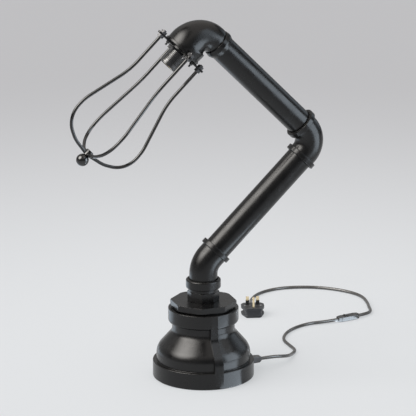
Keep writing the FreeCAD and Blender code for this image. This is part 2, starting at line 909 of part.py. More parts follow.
def build_arm_cable():
    """Inner cable on the pipes' axes, parted where the joints turn."""
    joint = elbow_reach
    low_joint = middle_corner - lower_axis * joint
    high_joint = middle_corner + upper_axis * joint
    head_axis = lower_axis * -1
    cable_end = top_corner + head_axis * (holder_start + holder_end_thickness + thread_nut_height)
    lower_points = [on_axis(swivel_plane + face_gap), lower_corner, low_joint - lower_axis * face_gap]
    export("inner_cable_lower", swept_rod(lower_points, [0, lower_elbow_bend, 0], cord_radius))
    middle_points = [low_joint, middle_corner, high_joint]
    export("inner_cable_middle", swept_rod(middle_points, [0, middle_elbow_bend, 0], cord_radius))
    upper_points = [high_joint + upper_axis * face_gap, top_corner, cable_end]
    export("inner_cable_upper", swept_rod(upper_points, [0, top_elbow_bend, 0], cord_radius))


# ------------------------------------------------------------------ head and cage


def head_cap():
    spigot = elbow_bore - fixed_gap
    rim = mouth_radius + cap_lip
    cap = turned([
        (thread_radius + fixed_gap, cap_start - cap_spigot_length),
        (spigot, cap_start - cap_spigot_length, 1.0),
        (spigot, cap_start),
        (rim, cap_start),
        (rim, cage_plate_start, 0.8),
        (thread_radius + fixed_gap, cage_plate_start),
    ])
    return cap.cut(ring_of(cage_bolt(fixed_gap), wire_count))


def lamp_nipple():
    """Threaded tube that ties cap, cage plate and lampholder together."""
    low = cap_start - cap_spigot_length - thread_nut_height - nipple_overrun
    return tube(thread_radius, thread_bore, low, holder_start + holder_end_thickness + thread_nut_height)


def nipple_nuts():
    upper = cap_start - cap_spigot_length
    lower = holder_start + holder_end_thickness
    bore = thread_radius + fixed_gap
    return [
        nut(thread_nut_radius, bore, upper - thread_nut_height, upper),
        nut(thread_nut_radius, bore, lower, lower + thread_nut_height),
    ]


def cage_plate():
    """Disc with one arm for each wire."""
    half = cage_arm_width / 2
    arm = prism([
        (0, -half),
        (cage_arm_reach, -half, half - 0.1),
        (cage_arm_reach, half, half - 0.1),
        (0, half),
    ], cage_plate_start, cage_plate_thickness)
    disc = cylinder(cage_plate_disc, cage_plate_start, holder_start)
    wire_hole = cylinder(wire_radius + fixed_gap, cage_plate_start, holder_start)
    wire_hole.translate(V(wire_circle, 0, 0))
    bolt_hole = cage_bolt(fixed_gap)
    centre_hole = cylinder(thread_radius + fixed_gap, cage_plate_start, holder_start)
    plate = disc.fuse(ring_of(arm, wire_count))
    plate = plate.cut(ring_of(wire_hole, wire_count) + ring_of(bolt_hole, wire_count) + [centre_hole])
    return plate.removeSplitter()


def cage_bolt(gap=0.0):
    """Stud from the elbow's rim through cap and plate arm; with a gap it is its hole."""
    start = cage_plate_start - cage_bolt_length
    end = holder_start + cage_nut_height + cage_bolt_tail
    body = cylinder(cage_bolt_radius + gap, start - gap, end)
    body.translate(V(cage_bolt_circle, 0, 0))
    return body


def cage_bolt_nut():
    end = holder_start + cage_nut_height
    body = nut(cage_nut_radius, cage_bolt_radius + fixed_gap, holder_start, end)
    body.translate(V(cage_bolt_circle, 0, 0))
    return body


def cage_wire():
    """Wire that drops straight past the lampholder, flares out and closes on the hub."""
    stations = [
        (cage_plate_start - wire_stub, wire_circle, 0),
        (cage_flare_start, wire_circle, cage_flare_bend),
        cage_belly_near,
        cage_belly_far,
        cage_nose,
        (cage_tip, wire_end_radius, 0),
    ]
    points = [V(radius, 0, distance) for distance, radius, bend in stations]
    bends = [bend for distance, radius, bend in stations]
    return swept_rod(points, bends, wire_radius)


def wire_nut(bottom):
    body = nut(wire_nut_radius, wire_radius + fixed_gap, bottom, bottom + wire_nut_height)
    body.translate(V(wire_circle, 0, 0))
    return body


def cage_hub():
    body = turned([
        (0, hub_start),
        (hub_radius, hub_start, 1.4),
        (hub_radius, hub_end, 0.8),
        (0, hub_end),
    ])
    run = V(wire_end_radius - cage_nose[1], 0, cage_tip - cage_nose[0])
    tip = V(wire_end_radius, 0, cage_tip)
    back = run.normalize() * -1
    hole = Part.makeCylinder(wire_radius + fixed_gap, 2 * hub_radius, tip, back)
    stud_hole = cylinder(ball_stud_radius + fixed_gap, hub_end - ball_stud_length, hub_end)
    screw_hole = hub_screw(fixed_gap)
    holes = ring_of(hole, wire_count) + ring_of(screw_hole, wire_count, 45.0)
    return body.cut(holes + [stud_hole])


def hub_screw(gap=0.0):
    """Grub screw between two wires, standing a little proud of the hub."""
    end = hub_radius + hub_screw_proud
    body = cylinder(hub_screw_radius + gap, end - hub_screw_length - gap, end + gap)
    return placed(body, on_axis(hub_start + hub_screw_height), arm_side, 90)


def ball_finial():
    """Ball with a flat against the hub and a stud that screws into it."""
    flat_radius = math.sqrt(ball_radius ** 2 - (ball_centre - hub_end) ** 2)
    pole = on_axis(ball_centre + ball_radius)
    stud_end = hub_end - ball_stud_length + face_gap
    rim = Part.Arc(V(flat_radius, 0, hub_end), V(ball_radius, 0, ball_centre), pole)
    corners = [
        pole,
        on_axis(stud_end),
        V(ball_stud_radius, 0, stud_end),
        V(ball_stud_radius, 0, hub_end),
        V(flat_radius, 0, hub_end),
    ]
    edges = [Part.LineSegment(a, b).toShape() for a, b in zip(corners, corners[1:])]
    profile = Part.Face(Part.Wire([rim.toShape()] + edges))
    return profile.revolve(V(0, 0, 0), V(0, 0, 1), 360)


def build_cage():
    export("head_cap", on_head(head_cap()))
    export("lamp_nipple", on_head(lamp_nipple()))
    export("nipple_nuts", [on_head(part) for part in nipple_nuts()])
    export("cage_plate", on_head(cage_plate()))
    bolts = ring_of(cage_bolt(), wire_count)
    nuts = ring_of(cage_bolt_nut(), wire_count)
    export("cage_bolts", [on_head(part) for part in bolts])
    export("cage_bolt_nuts", [on_head(part) for part in nuts])
    for index, wire in enumerate(ring_of(cage_wire(), wire_count)):
        export("cage_wire_%d" % (index + 1), on_head(wire))
    wire_nuts = ring_of(wire_nut(cage_plate_start - wire_nut_height), wire_count)
    wire_nuts += ring_of(wire_nut(holder_start), wire_count)
    export("cage_wire_nuts", [on_head(part) for part in wire_nuts])
    export("cage_hub", on_head(cage_hub()))
    export("hub_screws", [on_head(part) for part in ring_of(hub_screw(), wire_count, 45.0)])
    export("ball_finial", on_head(ball_finial()))


# ------------------------------------------------------------------ lampholder


def holder_shell():
    inner = holder_radius - holder_wall
    floor = holder_start + holder_end_thickness
    root = holder_radius - holder_thread_depth
    thread = []
    for turn in range(holder_thread_count):
        start = holder_start + holder_shoulder + holder_thread_pitch * (turn + 0.5)
        thread.append((holder_radius, start))
        thread.append((root, start + holder_thread_pitch * 0.25))
        thread.append((holder_radius, start + holder_thread_pitch * 0.5))
    return turned([
        (thread_radius + fixed_gap, holder_start),
        (holder_radius - 2.0, holder_start, 1.0),
        (holder_radius, holder_start + holder_shoulder, 1.0),
    ] + thread + [
        (holder_radius, holder_end, 0.4),
        (inner, holder_end),
        (inner, floor),
        (thread_radius + fixed_gap, floor),
    ])


def holder_ring():
    bottom = holder_end - ring_setback - ring_length
    return turned([
        (holder_radius + fixed_gap, bottom),
        (ring_radius, bottom, 0.5),
        (ring_radius, bottom + ring_length, 0.5),
        (holder_radius + fixed_gap, bottom + ring_length),
    ])


def holder_insert():
    """Ceramic cup that carries the screw shell."""
    bottom = insert_bottom
    floor = bottom + insert_floor
    pocket = floor - contact_height - face_gap
    top = holder_end - socket_setback
    inner = socket_radius + socket_wall + fixed_gap
    return turned([
        (0, bottom),
        (insert_radius, bottom, 1.0),
        (insert_radius, top, 0.6),
        (inner, top),
        (inner, floor),
        (contact_radius + insert_gap, floor),
        (contact_radius + insert_gap, pocket),
        (0, pocket),
    ])


def screw_shell():
    bottom = insert_bottom + insert_floor + face_gap
    return tube(socket_radius + socket_wall, socket_radius, bottom, holder_end - socket_setback)


def centre_contact():
    bottom = insert_bottom + insert_floor - contact_height - face_gap
    return turned([
        (0, bottom),
        (contact_radius, bottom),
        (contact_radius * 0.6, bottom + contact_height, 0.8),
        (0, bottom + contact_height),
    ])


def build_lampholder():
    export("lampholder_shell", on_head(holder_shell()))
    export("lampholder_ring", on_head(holder_ring()))
    export("lampholder_insert", on_head(holder_insert()))
    export("lampholder_screw_shell", on_head(screw_shell()))
    export("lampholder_contact", on_head(centre_contact()))


# ------------------------------------------------------------------ cord, switch and plug


def cord_bends(points):
    """Largest tangent arcs that the runs beside each corner allow."""
    bends = [0.0]
    for before, corner, after in zip(points, points[1:], points[2:]):
        inward = corner - before
        outward = after - corner
        shorter = min(inward.Length, outward.Length)
        bends.append(cord_bend_share * shorter / math.tan(inward.getAngle(outward) / 2))
    return bends + [0.0]


def cord(name, points):
    bends = cord_bends(points)
    rod = swept_rod(list(points), bends, cord_radius)
    length = tangent_path(list(points), bends).Length
    section = math.pi * cord_radius ** 2
    print(name, "length", round(length, 1), "volume ratio", round(rod.Volume / (section * length), 4))
    print(name, "bend radii", [round(bend) for bend in bends[1:-1]])
    export(name, rod)


def on_switch(shape):
    return placed(shape, switch_start, V(0, 0, 1), switch_azimuth)


def on_plug(shape):
    return placed(shape, plug_origin, V(0, 0, 1), plug_azimuth)


def switch_outline(inset):
    wide = switch_half_width - inset
    narrow = switch_end_half_width - inset
    end = switch_length - inset
    return [
        (inset, narrow, 2.0),
        (switch_taper, wide, 6.0),
        (switch_length - switch_taper, wide, 6.0),
        (end, narrow, 2.0),
        (end, -narrow, 2.0),
        (switch_length - switch_taper, -wide, 6.0),
        (switch_taper, -wide, 6.0),
        (inset, -narrow, 2.0),
    ]


def switch_cavity(bottom, top):
    half = switch_half_width - switch_wall
    return block((switch_taper, switch_length - switch_taper), (-half, half), (bottom, top))


def switch_grooves():
    """Shadow grooves in the switch's sides, one near each end."""
    core = prism(switch_outline(switch_groove_depth), 0, switch_height)
    far = switch_length - switch_groove_offset - switch_groove_width
    grooves = []
    for start in (switch_groove_offset, far):
        span = (start, start + switch_groove_width)
        slab = block(span, (-switch_half_width, switch_half_width), (0, switch_height))
        grooves.append(slab.cut(core))
    return grooves


def switch_lower():
    shell = prism(switch_outline(0.0), 0, switch_split)
    shell = shell.makeFillet(1.2, bottom_edges(shell))
    shell = shell.cut(switch_cavity(switch_wall, switch_split))
    return shell.cut(switch_screw_holes() + switch_grooves())


def bottom_edges(shape):
    low = shape.BoundBox.ZMin
    return [edge for edge in shape.Edges if edge.BoundBox.ZMax < low + 1e-6]


def top_edges(shape):
    high = shape.BoundBox.ZMax
    return [edge for edge in shape.Edges if edge.BoundBox.ZMin > high - 1e-6]


def switch_screw(x, gap=0.0):
    head_radius, head_height = switch_screw_head
    head_top = switch_screw_sunk + head_height
    end = switch_split + switch_screw_bite + gap
    body = turned([
        (0, switch_screw_sunk),
        (head_radius + gap, switch_screw_sunk),
        (head_radius + gap, head_top),
        (switch_screw_shank + gap, head_top),
        (switch_screw_shank + gap, end),
        (0, end),
    ])
    body.translate(V(x, 0, 0))
    return body


def switch_screw_places():
    return (switch_screw_inset, switch_length - switch_screw_inset)


def switch_screw_holes():
    holes = [switch_screw(x, fixed_gap) for x in switch_screw_places()]
    radius = switch_screw_head[0] + fixed_gap
    mouths = [
        Part.makeCylinder(radius, switch_screw_sunk + 0.01, V(x, 0, 0)) for x in switch_screw_places()
    ]
    return holes + mouths


def switch_upper():
    shell = prism(switch_outline(0.0), switch_split, switch_height - switch_split)
    shell = shell.makeFillet(1.8, top_edges(shell))
    shell = shell.cut(switch_cavity(switch_split, switch_height - switch_wall))
    middle = switch_length / 2
    half_x = rocker_half_length + 3 * rocker_gap
    half_y = rocker_half_width + rocker_gap
    window = block(
        (middle - half_x, middle + half_x),
        (-half_y, half_y),
        (switch_height - 2 * switch_wall, switch_height + 1.0),
    )
    pin_hole = rocker_pin(fixed_gap)
    return shell.cut([window, pin_hole] + switch_screw_holes() + switch_grooves())


def rocker_pin(gap=0.0):
    length = 2 * (switch_half_width - 0.6)
    start = V(switch_length / 2, -length / 2, rocker_pivot_height)
    return Part.makeCylinder(rocker_pin_radius + gap, length, start, V(0, 1, 0))


def switch_rocker():
    """Rocker with two finger dishes, tipped to its off side."""
    middle = switch_length / 2
    length = rocker_half_length
    profile = [
        (-length, -0.4, 0.8),
        (-length, rocker_crown, 0.8),
        (-length * 0.45, rocker_crown - rocker_dip + 0.5, 8.0),
        (0, rocker_crown - rocker_dip, 0),
        (length * 0.45, rocker_crown - rocker_dip + 0.5, 8.0),
        (length, rocker_crown, 0.8),
        (length, -0.4, 0.8),
        (2.4, -rocker_depth, 0.8),
        (-2.4, -rocker_depth, 0.8),
    ]
    face = flat_outline(profile, lambda x, z: V(x, -rocker_half_width, z))
    body = face.extrude(V(0, 2 * rocker_half_width, 0))
    bore = Part.makeCylinder(
        rocker_pin_radius + fixed_gap,
        4 * rocker_half_width,
        V(0, -2 * rocker_half_width, 0),
        V(0, 1, 0),
    )
    body = body.cut(bore)
    return placed(body, V(middle, 0, rocker_pivot_height), arm_side, rocker_tilt)


def switch_terminals():
    """Two brass terminal blocks on the shell's floor."""
    length, width, height = terminal_size
    across = (-width / 2, width / 2)
    up = (switch_wall, switch_wall + height)
    near = switch_taper + 1.0
    far = switch_length - near - length
    return [block((start, start + length), across, up) for start in (near, far)]


def build_switch():
    export("switch_lower", on_switch(switch_lower()))
    export("switch_upper", on_switch(switch_upper()))
    export("switch_screws", [on_switch(switch_screw(x)) for x in switch_screw_places()])
    export("switch_rocker", on_switch(switch_rocker()))
    export("switch_rocker_pin", on_switch(rocker_pin()))
    export("switch_terminals", [on_switch(part) for part in switch_terminals()])


def plug_outline(inset, grip):
    wide = plug_half_width - inset - grip
    narrow = plug_front_half_width - inset
    return [
        (wide - 7.0, plug_rear - inset, 3.0),
        (wide, 5.0, 6.0),
        (wide, -9.0, 9.0),
        (narrow, inset - plug_front, 5.0),
        (-narrow, inset - plug_front, 5.0),
        (-wide, -9.0, 9.0),
        (-wide, 5.0, 6.0),
        (7.0 - wide, plug_rear - inset, 3.0),
    ]


def plug_section(inset, height, grip=0.0):
    return flat_outline(plug_outline(inset, grip), lambda x, y: V(x, y, height)).OuterWire


def plug_cavity():
    top = plug_height - plug_face_thickness
    half = plug_screw_offset[0] - plug_screw_shank - fixed_gap - plug_cavity_rib
    return block((-half, half), plug_cavity_reach, (plug_wall, top))


def plug_cover():
    """Back of the plug: a foot, then sides drawn in for the fingers below the pin face."""
    face_bottom = plug_height - plug_face_thickness
    waist_bottom = face_bottom - plug_waist_height
    lower = Part.makeLoft([
        plug_section(plug_back_draft + 1.2, 0),
        plug_section(plug_back_draft, 1.2),
        plug_section(0.0, waist_bottom - 1.0),
        plug_section(plug_waist_inset, waist_bottom),
    ], True, True)
    waist = Part.makeLoft([
        plug_section(plug_waist_inset, waist_bottom),
        plug_section(plug_waist_inset, waist_bottom + plug_waist_height / 2, plug_grip),
        plug_section(plug_waist_inset, face_bottom),
    ], True, False)
    entry = Part.makeCylinder(
        cord_radius + fixed_gap,
        plug_rear + 2.0,
        V(0, 0, plug_cord_height),
        V(0, 1, 0),
    )
    return lower.fuse(waist).cut([plug_cavity(), entry])


def pin_shape(size, bottom, top, x=0.0, y=0.0, grow=0.0):
    half_x = size[0] / 2 + grow
    half_y = size[1] / 2 + grow
    return block((x - half_x, x + half_x), (y - half_y, y + half_y), (bottom, top))


def bevelled_pin(size, x, y):
    """Flat pin with a chamfered tip."""
    bottom = plug_height - pin_root
    top = plug_height + size[2]
    pin = pin_shape(size, bottom, top, x, y)
    return pin.makeChamfer(0.9, top_edges(pin))


def plug_face():
    """Pin side of the plug with the slots for pins, fuse carrier and screws."""
    bottom = plug_height - plug_face_thickness
    plate = Part.Face(plug_section(0.0, bottom)).extrude(V(0, 0, plug_face_thickness))
    plate = plate.makeFillet(1.0, top_edges(plate))
    line_x = line_pin_spacing / 2
    slots = [
        pin_shape(line_pin_size, bottom, plug_height, x, 0, sleeve_wall + fixed_gap)
        for x in (-line_x, line_x)
    ]
    slots.append(pin_shape(earth_pin_size, bottom, plug_height, 0, -earth_pin_offset, fixed_gap))
    slots.append(pin_shape(carrier_size, bottom, plug_height, 0, carrier_centre, fixed_gap))
    for side in (-1, 1):
        slots.append(plug_screw(side, fixed_gap))
    return plate.cut(slots)


def line_pins():
    line_x = line_pin_spacing / 2
    return [bevelled_pin(line_pin_size, x, 0) for x in (-line_x, line_x)]


def pin_sleeves():
    """Insulating sleeves round the roots of the line pins."""
    bottom = plug_height - plug_face_thickness
    top = plug_height + sleeve_length
    line_x = line_pin_spacing / 2
    sleeves = []
    for x in (-line_x, line_x):
        outer = pin_shape(line_pin_size, bottom, top, x, 0, sleeve_wall)
        sleeves.append(outer.cut(pin_shape(line_pin_size, bottom, top, x, 0, 0.01)))
    return sleeves


def fuse_carrier():
    bottom = plug_height - plug_face_thickness
    top = plug_height + carrier_proud
    body = pin_shape(carrier_size, bottom, top, 0, carrier_centre)
    return body.cut(pin_shape(carrier_slot, top - carrier_slot[2], top, 0, carrier_centre))


def fuse():
    centre = plug_height - plug_face_thickness - fuse_radius - face_gap
    start = V(-fuse_length / 2, carrier_centre, centre)
    return Part.makeCylinder(fuse_radius, fuse_length, start, V(1, 0, 0))


def plug_screw(side, gap=0.0):
    """Sunk cheese-head screw; with a gap it is the hole that takes it."""
    head_bottom = plug_height - plug_screw_head_height
    end = plug_height - plug_face_thickness - plug_screw_bite
    body = turned([
        (0, end - gap),
        (plug_screw_shank + gap, end - gap),
        (plug_screw_shank + gap, head_bottom),
        (plug_screw_radius + gap, head_bottom),
        (plug_screw_radius + gap, plug_height + gap),
        (0, plug_height + gap),
    ])
    body.translate(V(side * plug_screw_offset[0], plug_screw_offset[1], 0))
    return body


def cord_bush():
    body = turned([
        (cord_radius + fixed_gap, plug_rear - bush_neck_length),
        (bush_neck_radius, plug_rear - bush_neck_length),
        (bush_neck_radius, plug_rear),
        (bush_radius, plug_rear),
        (bush_tip_radius, plug_rear + bush_length, 0.6),
        (cord_radius + fixed_gap, plug_rear + bush_length),
    ])
    return placed(body, V(0, 0, plug_cord_height), V(1, 0, 0), -90)


def build_plug():
    bush_room = placed(
        cylinder(bush_neck_radius + fixed_gap, plug_rear - bush_neck_length - face_gap, plug_rear + 1.0),
        V(0, 0, plug_cord_height),
        V(1, 0, 0),
        -90,
    )
    cover = plug_cover().cut([bush_room, plug_screw(-1, fixed_gap), plug_screw(1, fixed_gap)])
    export("plug_cover", on_plug(cover))
    export("plug_face", on_plug(plug_face()))
    export("plug_line_pins", [on_plug(part) for part in line_pins()])
    export("plug_pin_sleeves", [on_plug(part) for part in pin_sleeves()])
    earth = bevelled_pin(earth_pin_size, 0, -earth_pin_offset)
    export("plug_earth_pin", on_plug(earth))
    export("plug_fuse_carrier", on_plug(fuse_carrier()))
    export("plug_fuse", on_plug(fuse()))
    export("plug_screws", [on_plug(plug_screw(side)) for side in (-1, 1)])
    export("plug_cord_bush", on_plug(cord_bush()))


def build_cord():
    cord("cord_to_switch", cord_to_switch)
    cord("cord_to_plug", cord_to_plug)


os.makedirs("parts", exist_ok=True)
build_base()
build_arm()
build_arm_cable()
build_cage()
build_lampholder()
build_cord()
build_switch()
build_plug()
print(len(nodes), "nodes")
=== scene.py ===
import json
import math

import bpy
from mathutils import Matrix, Vector


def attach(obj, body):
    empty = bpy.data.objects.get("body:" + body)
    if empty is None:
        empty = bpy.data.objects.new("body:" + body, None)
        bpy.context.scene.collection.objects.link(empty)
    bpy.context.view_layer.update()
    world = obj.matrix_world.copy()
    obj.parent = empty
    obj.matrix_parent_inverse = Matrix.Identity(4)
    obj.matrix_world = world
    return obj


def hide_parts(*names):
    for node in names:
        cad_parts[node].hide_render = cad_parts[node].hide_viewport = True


# Looks of the industrial pipe table lamp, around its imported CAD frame. Metres; +Z up.
# The lower pipe leans towards +X, the head points back to -X and the cord leaves along +X.

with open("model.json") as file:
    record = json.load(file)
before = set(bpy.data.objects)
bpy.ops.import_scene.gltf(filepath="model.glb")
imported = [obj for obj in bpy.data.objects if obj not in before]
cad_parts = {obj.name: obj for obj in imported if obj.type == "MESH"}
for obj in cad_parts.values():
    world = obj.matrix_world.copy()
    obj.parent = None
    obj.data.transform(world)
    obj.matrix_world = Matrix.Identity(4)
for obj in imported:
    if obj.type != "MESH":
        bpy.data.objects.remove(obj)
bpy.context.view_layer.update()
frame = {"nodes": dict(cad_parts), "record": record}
nodes = frame["nodes"]
MM = 0.001

# ------------------------------------------------------------------ camera

IMAGE_SIZE = 416                      # pixels, both ways
CAMERA_AZIMUTH = 18.45                # degrees that the view turns from +Y towards +X
CAMERA_ELEVATION = 15.65              # degrees that it looks down
CAMERA_DISTANCE = 6.0                 # metres from the lamp's foot along the view
PIXEL_AT_FOOT = 2.04 * MM             # what one pixel covers at the foot
FOOT_PIXEL = (203.4, 374.3)           # where the middle of the foot shows, across and down
SENSOR_WIDTH = 36.0                   # millimetres
VIEW_DEPTH = 50.0                     # metres


def add_object(name, data):
    """New object, linked into the scene."""
    piece = bpy.data.objects.new(name, data)
    bpy.context.scene.collection.objects.link(piece)
    return piece


def make_camera():
    """Camera at the height and distance of the product shot, with the foot at its pixel."""
    azimuth = math.radians(CAMERA_AZIMUTH)
    elevation = math.radians(CAMERA_ELEVATION)
    right = Vector((math.cos(azimuth), -math.sin(azimuth), 0))
    level = Vector((math.sin(azimuth), math.cos(azimuth), 0))
    forward = level * math.cos(elevation) - Vector((0, 0, math.sin(elevation)))
    up = right.cross(forward)
    centre = IMAGE_SIZE / 2
    across = (FOOT_PIXEL[0] - centre) * PIXEL_AT_FOOT
    below = (centre - FOOT_PIXEL[1]) * PIXEL_AT_FOOT
    position = -(forward * CAMERA_DISTANCE + right * across + up * below)
    data = bpy.data.cameras.new("camera")
    data.sensor_width = SENSOR_WIDTH
    data.lens = CAMERA_DISTANCE / PIXEL_AT_FOOT / IMAGE_SIZE * SENSOR_WIDTH
    data.clip_end = VIEW_DEPTH
    camera = add_object("camera", data)
    turn = Matrix((right, up, -forward)).transposed().to_4x4()
    camera.matrix_world = Matrix.Translation(position) @ turn
    bpy.context.scene.camera = camera


# ------------------------------------------------------------------ cord

CORD_DIAMETER = 7.0 * MM
CORD_ORDER = 3                        # quadratic, so that the cord stays near its points
CORD_STEPS = 24                       # between two points
CORD_ROUNDNESS = 6
# Control points in millimetres. The ends follow from the pieces that they meet, the heights were set one
# by one, and the rest of x and y comes from a least-squares fit to the lead's line on the table.
CORD_TO_SWITCH = (
    (124.5, 0.0, 21.0),
    (152.3, 0.0, 22.5),
    (183.5, 11.3, 16.0),
    (207.8, 47.0, 5.2),
    (228.9, 76.3, 3.6),
    (227.0, 110.8, 3.6),
    (226.7, 154.8, 3.6),
    (257.9, 205.5, 3.6),
    (311.5, 238.5, 3.6),
    (358.2, 233.6, 5.2),
    (384.0, 240.0, 5.2),
)
CORD_TO_PLUG = (
    (436.4, 253.06, 5.2),
    (458.7, 258.6, 5.2),
    (475.6, 275.8, 4.2),
    (482.3, 304.3, 3.6),
    (492.2, 340.2, 3.6),
    (497.4, 387.6, 3.6),
    (479.8, 428.9, 3.6),
    (444.3, 466.9, 3.6),
    (398.5, 491.6, 3.6),
    (340.7, 500.2, 3.6),
    (288.3, 479.3, 3.6),
    (256.8, 440.4, 3.8),
    (242.2, 404.5, 6.5),
    (235.37, 377.14, 9.0),
)


def make_cord(name, route, node):
    """Smooth round cord along a route of control points in millimetres."""
    curve = bpy.data.curves.new(name, "CURVE")
    curve.dimensions = "3D"
    curve.bevel_depth = 1.0
    curve.bevel_resolution = CORD_ROUNDNESS
    curve.resolution_u = CORD_STEPS
    curve.use_fill_caps = True
    spline = curve.splines.new("NURBS")
    spline.points.add(len(route) - 1)
    for point, place in zip(spline.points, route):
        point.co = (*(value * MM for value in place), 1.0)
        point.radius = CORD_DIAMETER / 2
    spline.order_u = CORD_ORDER
    spline.use_endpoint_u = True
    spline.resolution_u = CORD_STEPS
    piece = add_object(name, curve)
    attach(piece, "base")
    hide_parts(node)
    return piece


# ------------------------------------------------------------------ node helpers

COLOUR_ONE, COLOUR_TWO, COLOUR_OUT = 6, 7, 2    # a Mix node's sockets for colours
NOISE_RANGE = (0.3, 0.7)              # where most values of a noise texture lie
BEVEL_SAMPLES = 6
RUB_START = 0.02                      # how far an edge's shading turns where it starts to look rubbed
RUB_FULL = 0.25                       # and where it is rubbed in full


class NodeTree:
    """Short calls for the nodes of a material or a world."""

    def __init__(self, tree):
        self.tree = tree

    def add(self, kind, **inputs):
        node = self.tree.nodes.new(kind)
        for socket, value in inputs.items():
            self.feed(node.inputs[socket.replace("_", " ")], value)
        return node

    def feed(self, socket, value):
        if isinstance(value, bpy.types.NodeSocket):
            self.tree.links.new(value, socket)
        else:
            socket.default_value = value

    def span(self, value, low, high, to_low, to_high):
        """Map a value range onto another, clamped."""
        node = self.add("ShaderNodeMapRange", Value=value)
        node.clamp = True
        sockets = ("From Min", "From Max", "To Min", "To Max")
        for socket, number in zip(sockets, (low, high, to_low, to_high)):
            node.inputs[socket].default_value = number
        return node.outputs["Result"]

    def ease(self, value, low, high, to_low, to_high):
        """Map a value range onto another with soft ends."""
        result = self.span(value, low, high, to_low, to_high)
        result.node.interpolation_type = "SMOOTHSTEP"
        return result

    def mix(self, factor, first, second):
        """Colour between two colours."""
        node = self.add("ShaderNodeMix")
        node.data_type = "RGBA"
        self.feed(node.inputs["Factor"], factor)
        for socket, colour in ((COLOUR_ONE, first), (COLOUR_TWO, second)):
            linked = isinstance(colour, bpy.types.NodeSocket)
            self.feed(node.inputs[socket], colour if linked else (*colour, 1.0))
        return node.outputs[COLOUR_OUT]

    def maths(self, operation, first, second):
        node = self.add("ShaderNodeMath")
        node.operation = operation
        self.feed(node.inputs[0], first)
        self.feed(node.inputs[1], second)
        return node.outputs[0]

    def measure(self, operation, first, second=None):
        """Number that a vector operation gives, such as a length or a dot product."""
        node = self.add("ShaderNodeVectorMath")
        node.operation = operation
        self.feed(node.inputs[0], first)
        if second is not None:
            self.feed(node.inputs[1], second)
        return node.outputs["Value"]


class Shader(NodeTree):
    """A material with a Principled shader and the textures that feed it."""

    def __init__(self, name, colour, roughness, metallic=0.0, **sockets):
        self.material = bpy.data.materials.new(name)
        self.material.use_nodes = True
        super().__init__(self.material.node_tree)
        self.shader = self.tree.nodes["Principled BSDF"]
        self.set("Base Color", (*colour, 1.0))
        self.set("Roughness", roughness)
        self.set("Metallic", metallic)
        for socket, value in sockets.items():
            self.set(socket.replace("_", " "), value)
        self.normal = None
        self.place = self.add("ShaderNodeTexCoord").outputs["Object"]

    def set(self, socket, value):
        self.shader.inputs[socket].default_value = value

    def link(self, socket, value):
        self.feed(self.shader.inputs[socket], value)

    def noise(self, scale, detail=2.0, roughness=0.5, place=None):
        node = self.add("ShaderNodeTexNoise", Scale=scale, Detail=detail, Roughness=roughness)
        self.feed(node.inputs["Vector"], place or self.place)
        return node.outputs["Fac"]

    def vary(self, noise, to_low=0.0, to_high=1.0):
        """Spread a noise over a range of values."""
        return self.span(noise, *NOISE_RANGE, to_low, to_high)

    def stretched(self, scales):
        """Object coordinates stretched per axis, for grain that runs one way."""
        node = self.add("ShaderNodeMapping", Vector=self.place, Scale=scales)
        return node.outputs["Vector"]

    def edge_mask(self, radius):
        """1 on edges that use rubs, 0 on open faces; also rounds the edges' shading."""
        bevel = self.add("ShaderNodeBevel", Radius=radius)
        bevel.samples = BEVEL_SAMPLES
        self.normal = bevel.outputs["Normal"]
        flat = self.add("ShaderNodeNewGeometry").outputs["Normal"]
        likeness = self.measure("DOT_PRODUCT", self.normal, flat)
        return self.span(likeness, 1.0 - RUB_FULL, 1.0 - RUB_START, 1.0, 0.0)

    def bump(self, height, distance):
        node = self.add("ShaderNodeBump", Height=height, Distance=distance, Strength=1.0)
        if self.normal:
            self.feed(node.inputs["Normal"], self.normal)
        self.normal = node.outputs["Normal"]

    def done(self):
        if self.normal:
            self.link("Normal", self.normal)
        return self.material


# ------------------------------------------------------------------ materials

RUBBED_BLACK = (0.03, 0.03, 0.032)    # where the coat of a fitting is worn thin
OXIDE_BLACK = (0.10, 0.10, 0.103)
LIGHTER_PLASTIC = 1.25                # times the colour, where the moulding is paler
POLISHED_PLASTIC = 1.9                # and on its edges
RUBBER_BLOOM = 2.2
DRAWN_GRAIN = {"zinc": (1.0, 1.0, 0.08), "brass": (1.0, 1.0, 0.1)}


def powder_coat(name, colour, worn, roughness, peel, cloud=0.06):
    """Satin black powder coat: fine orange peel, faint clouds and rubbed edges."""
    shader = Shader(name, colour, roughness, Specular_IOR_Level=0.4)
    edges = shader.edge_mask(0.7 * MM)
    grain = shader.noise(160.0, 4.0, 0.6)
    wear = shader.maths("MULTIPLY", edges, shader.span(grain, 0.35, 0.65, 0.6, 1.0))
    clouds = shader.noise(14.0, 3.0, 0.55)
    lighter = tuple(value * (1 + 4 * cloud) for value in colour)
    body = shader.mix(shader.vary(clouds), colour, lighter)
    shader.link("Base Color", shader.mix(wear, body, worn))
    smear = shader.noise(38.0, 3.0, 0.6)
    shader.link("Roughness", shader.vary(smear, roughness - cloud, roughness + cloud))
    shader.bump(shader.noise(900.0), peel * 0.5)
    shader.bump(shader.noise(70.0), peel)
    return shader.done()


def gloss_enamel():
    """Dipped gloss black of the cage wires and the ball."""
    shader = Shader("gloss_enamel", (0.004, 0.004, 0.0042), 0.10, Specular_IOR_Level=0.8)
    shader.link("Roughness", shader.vary(shader.noise(60.0), 0.06, 0.13))
    shader.bump(shader.noise(220.0, 1.0), 0.03 * MM)
    return shader.done()


def black_oxide():
    """Oiled black screws and nuts."""
    shader = Shader("black_oxide", OXIDE_BLACK, 0.34, metallic=0.8)
    edges = shader.edge_mask(0.4 * MM)
    spots = shader.span(shader.noise(500.0, 3.0), 0.45, 0.6, 0.0, 0.5)
    shader.link("Base Color", shader.mix(edges, OXIDE_BLACK, (0.30, 0.30, 0.305)))
    shader.link("Roughness", shader.maths("ADD", spots, 0.28))
    return shader.done()


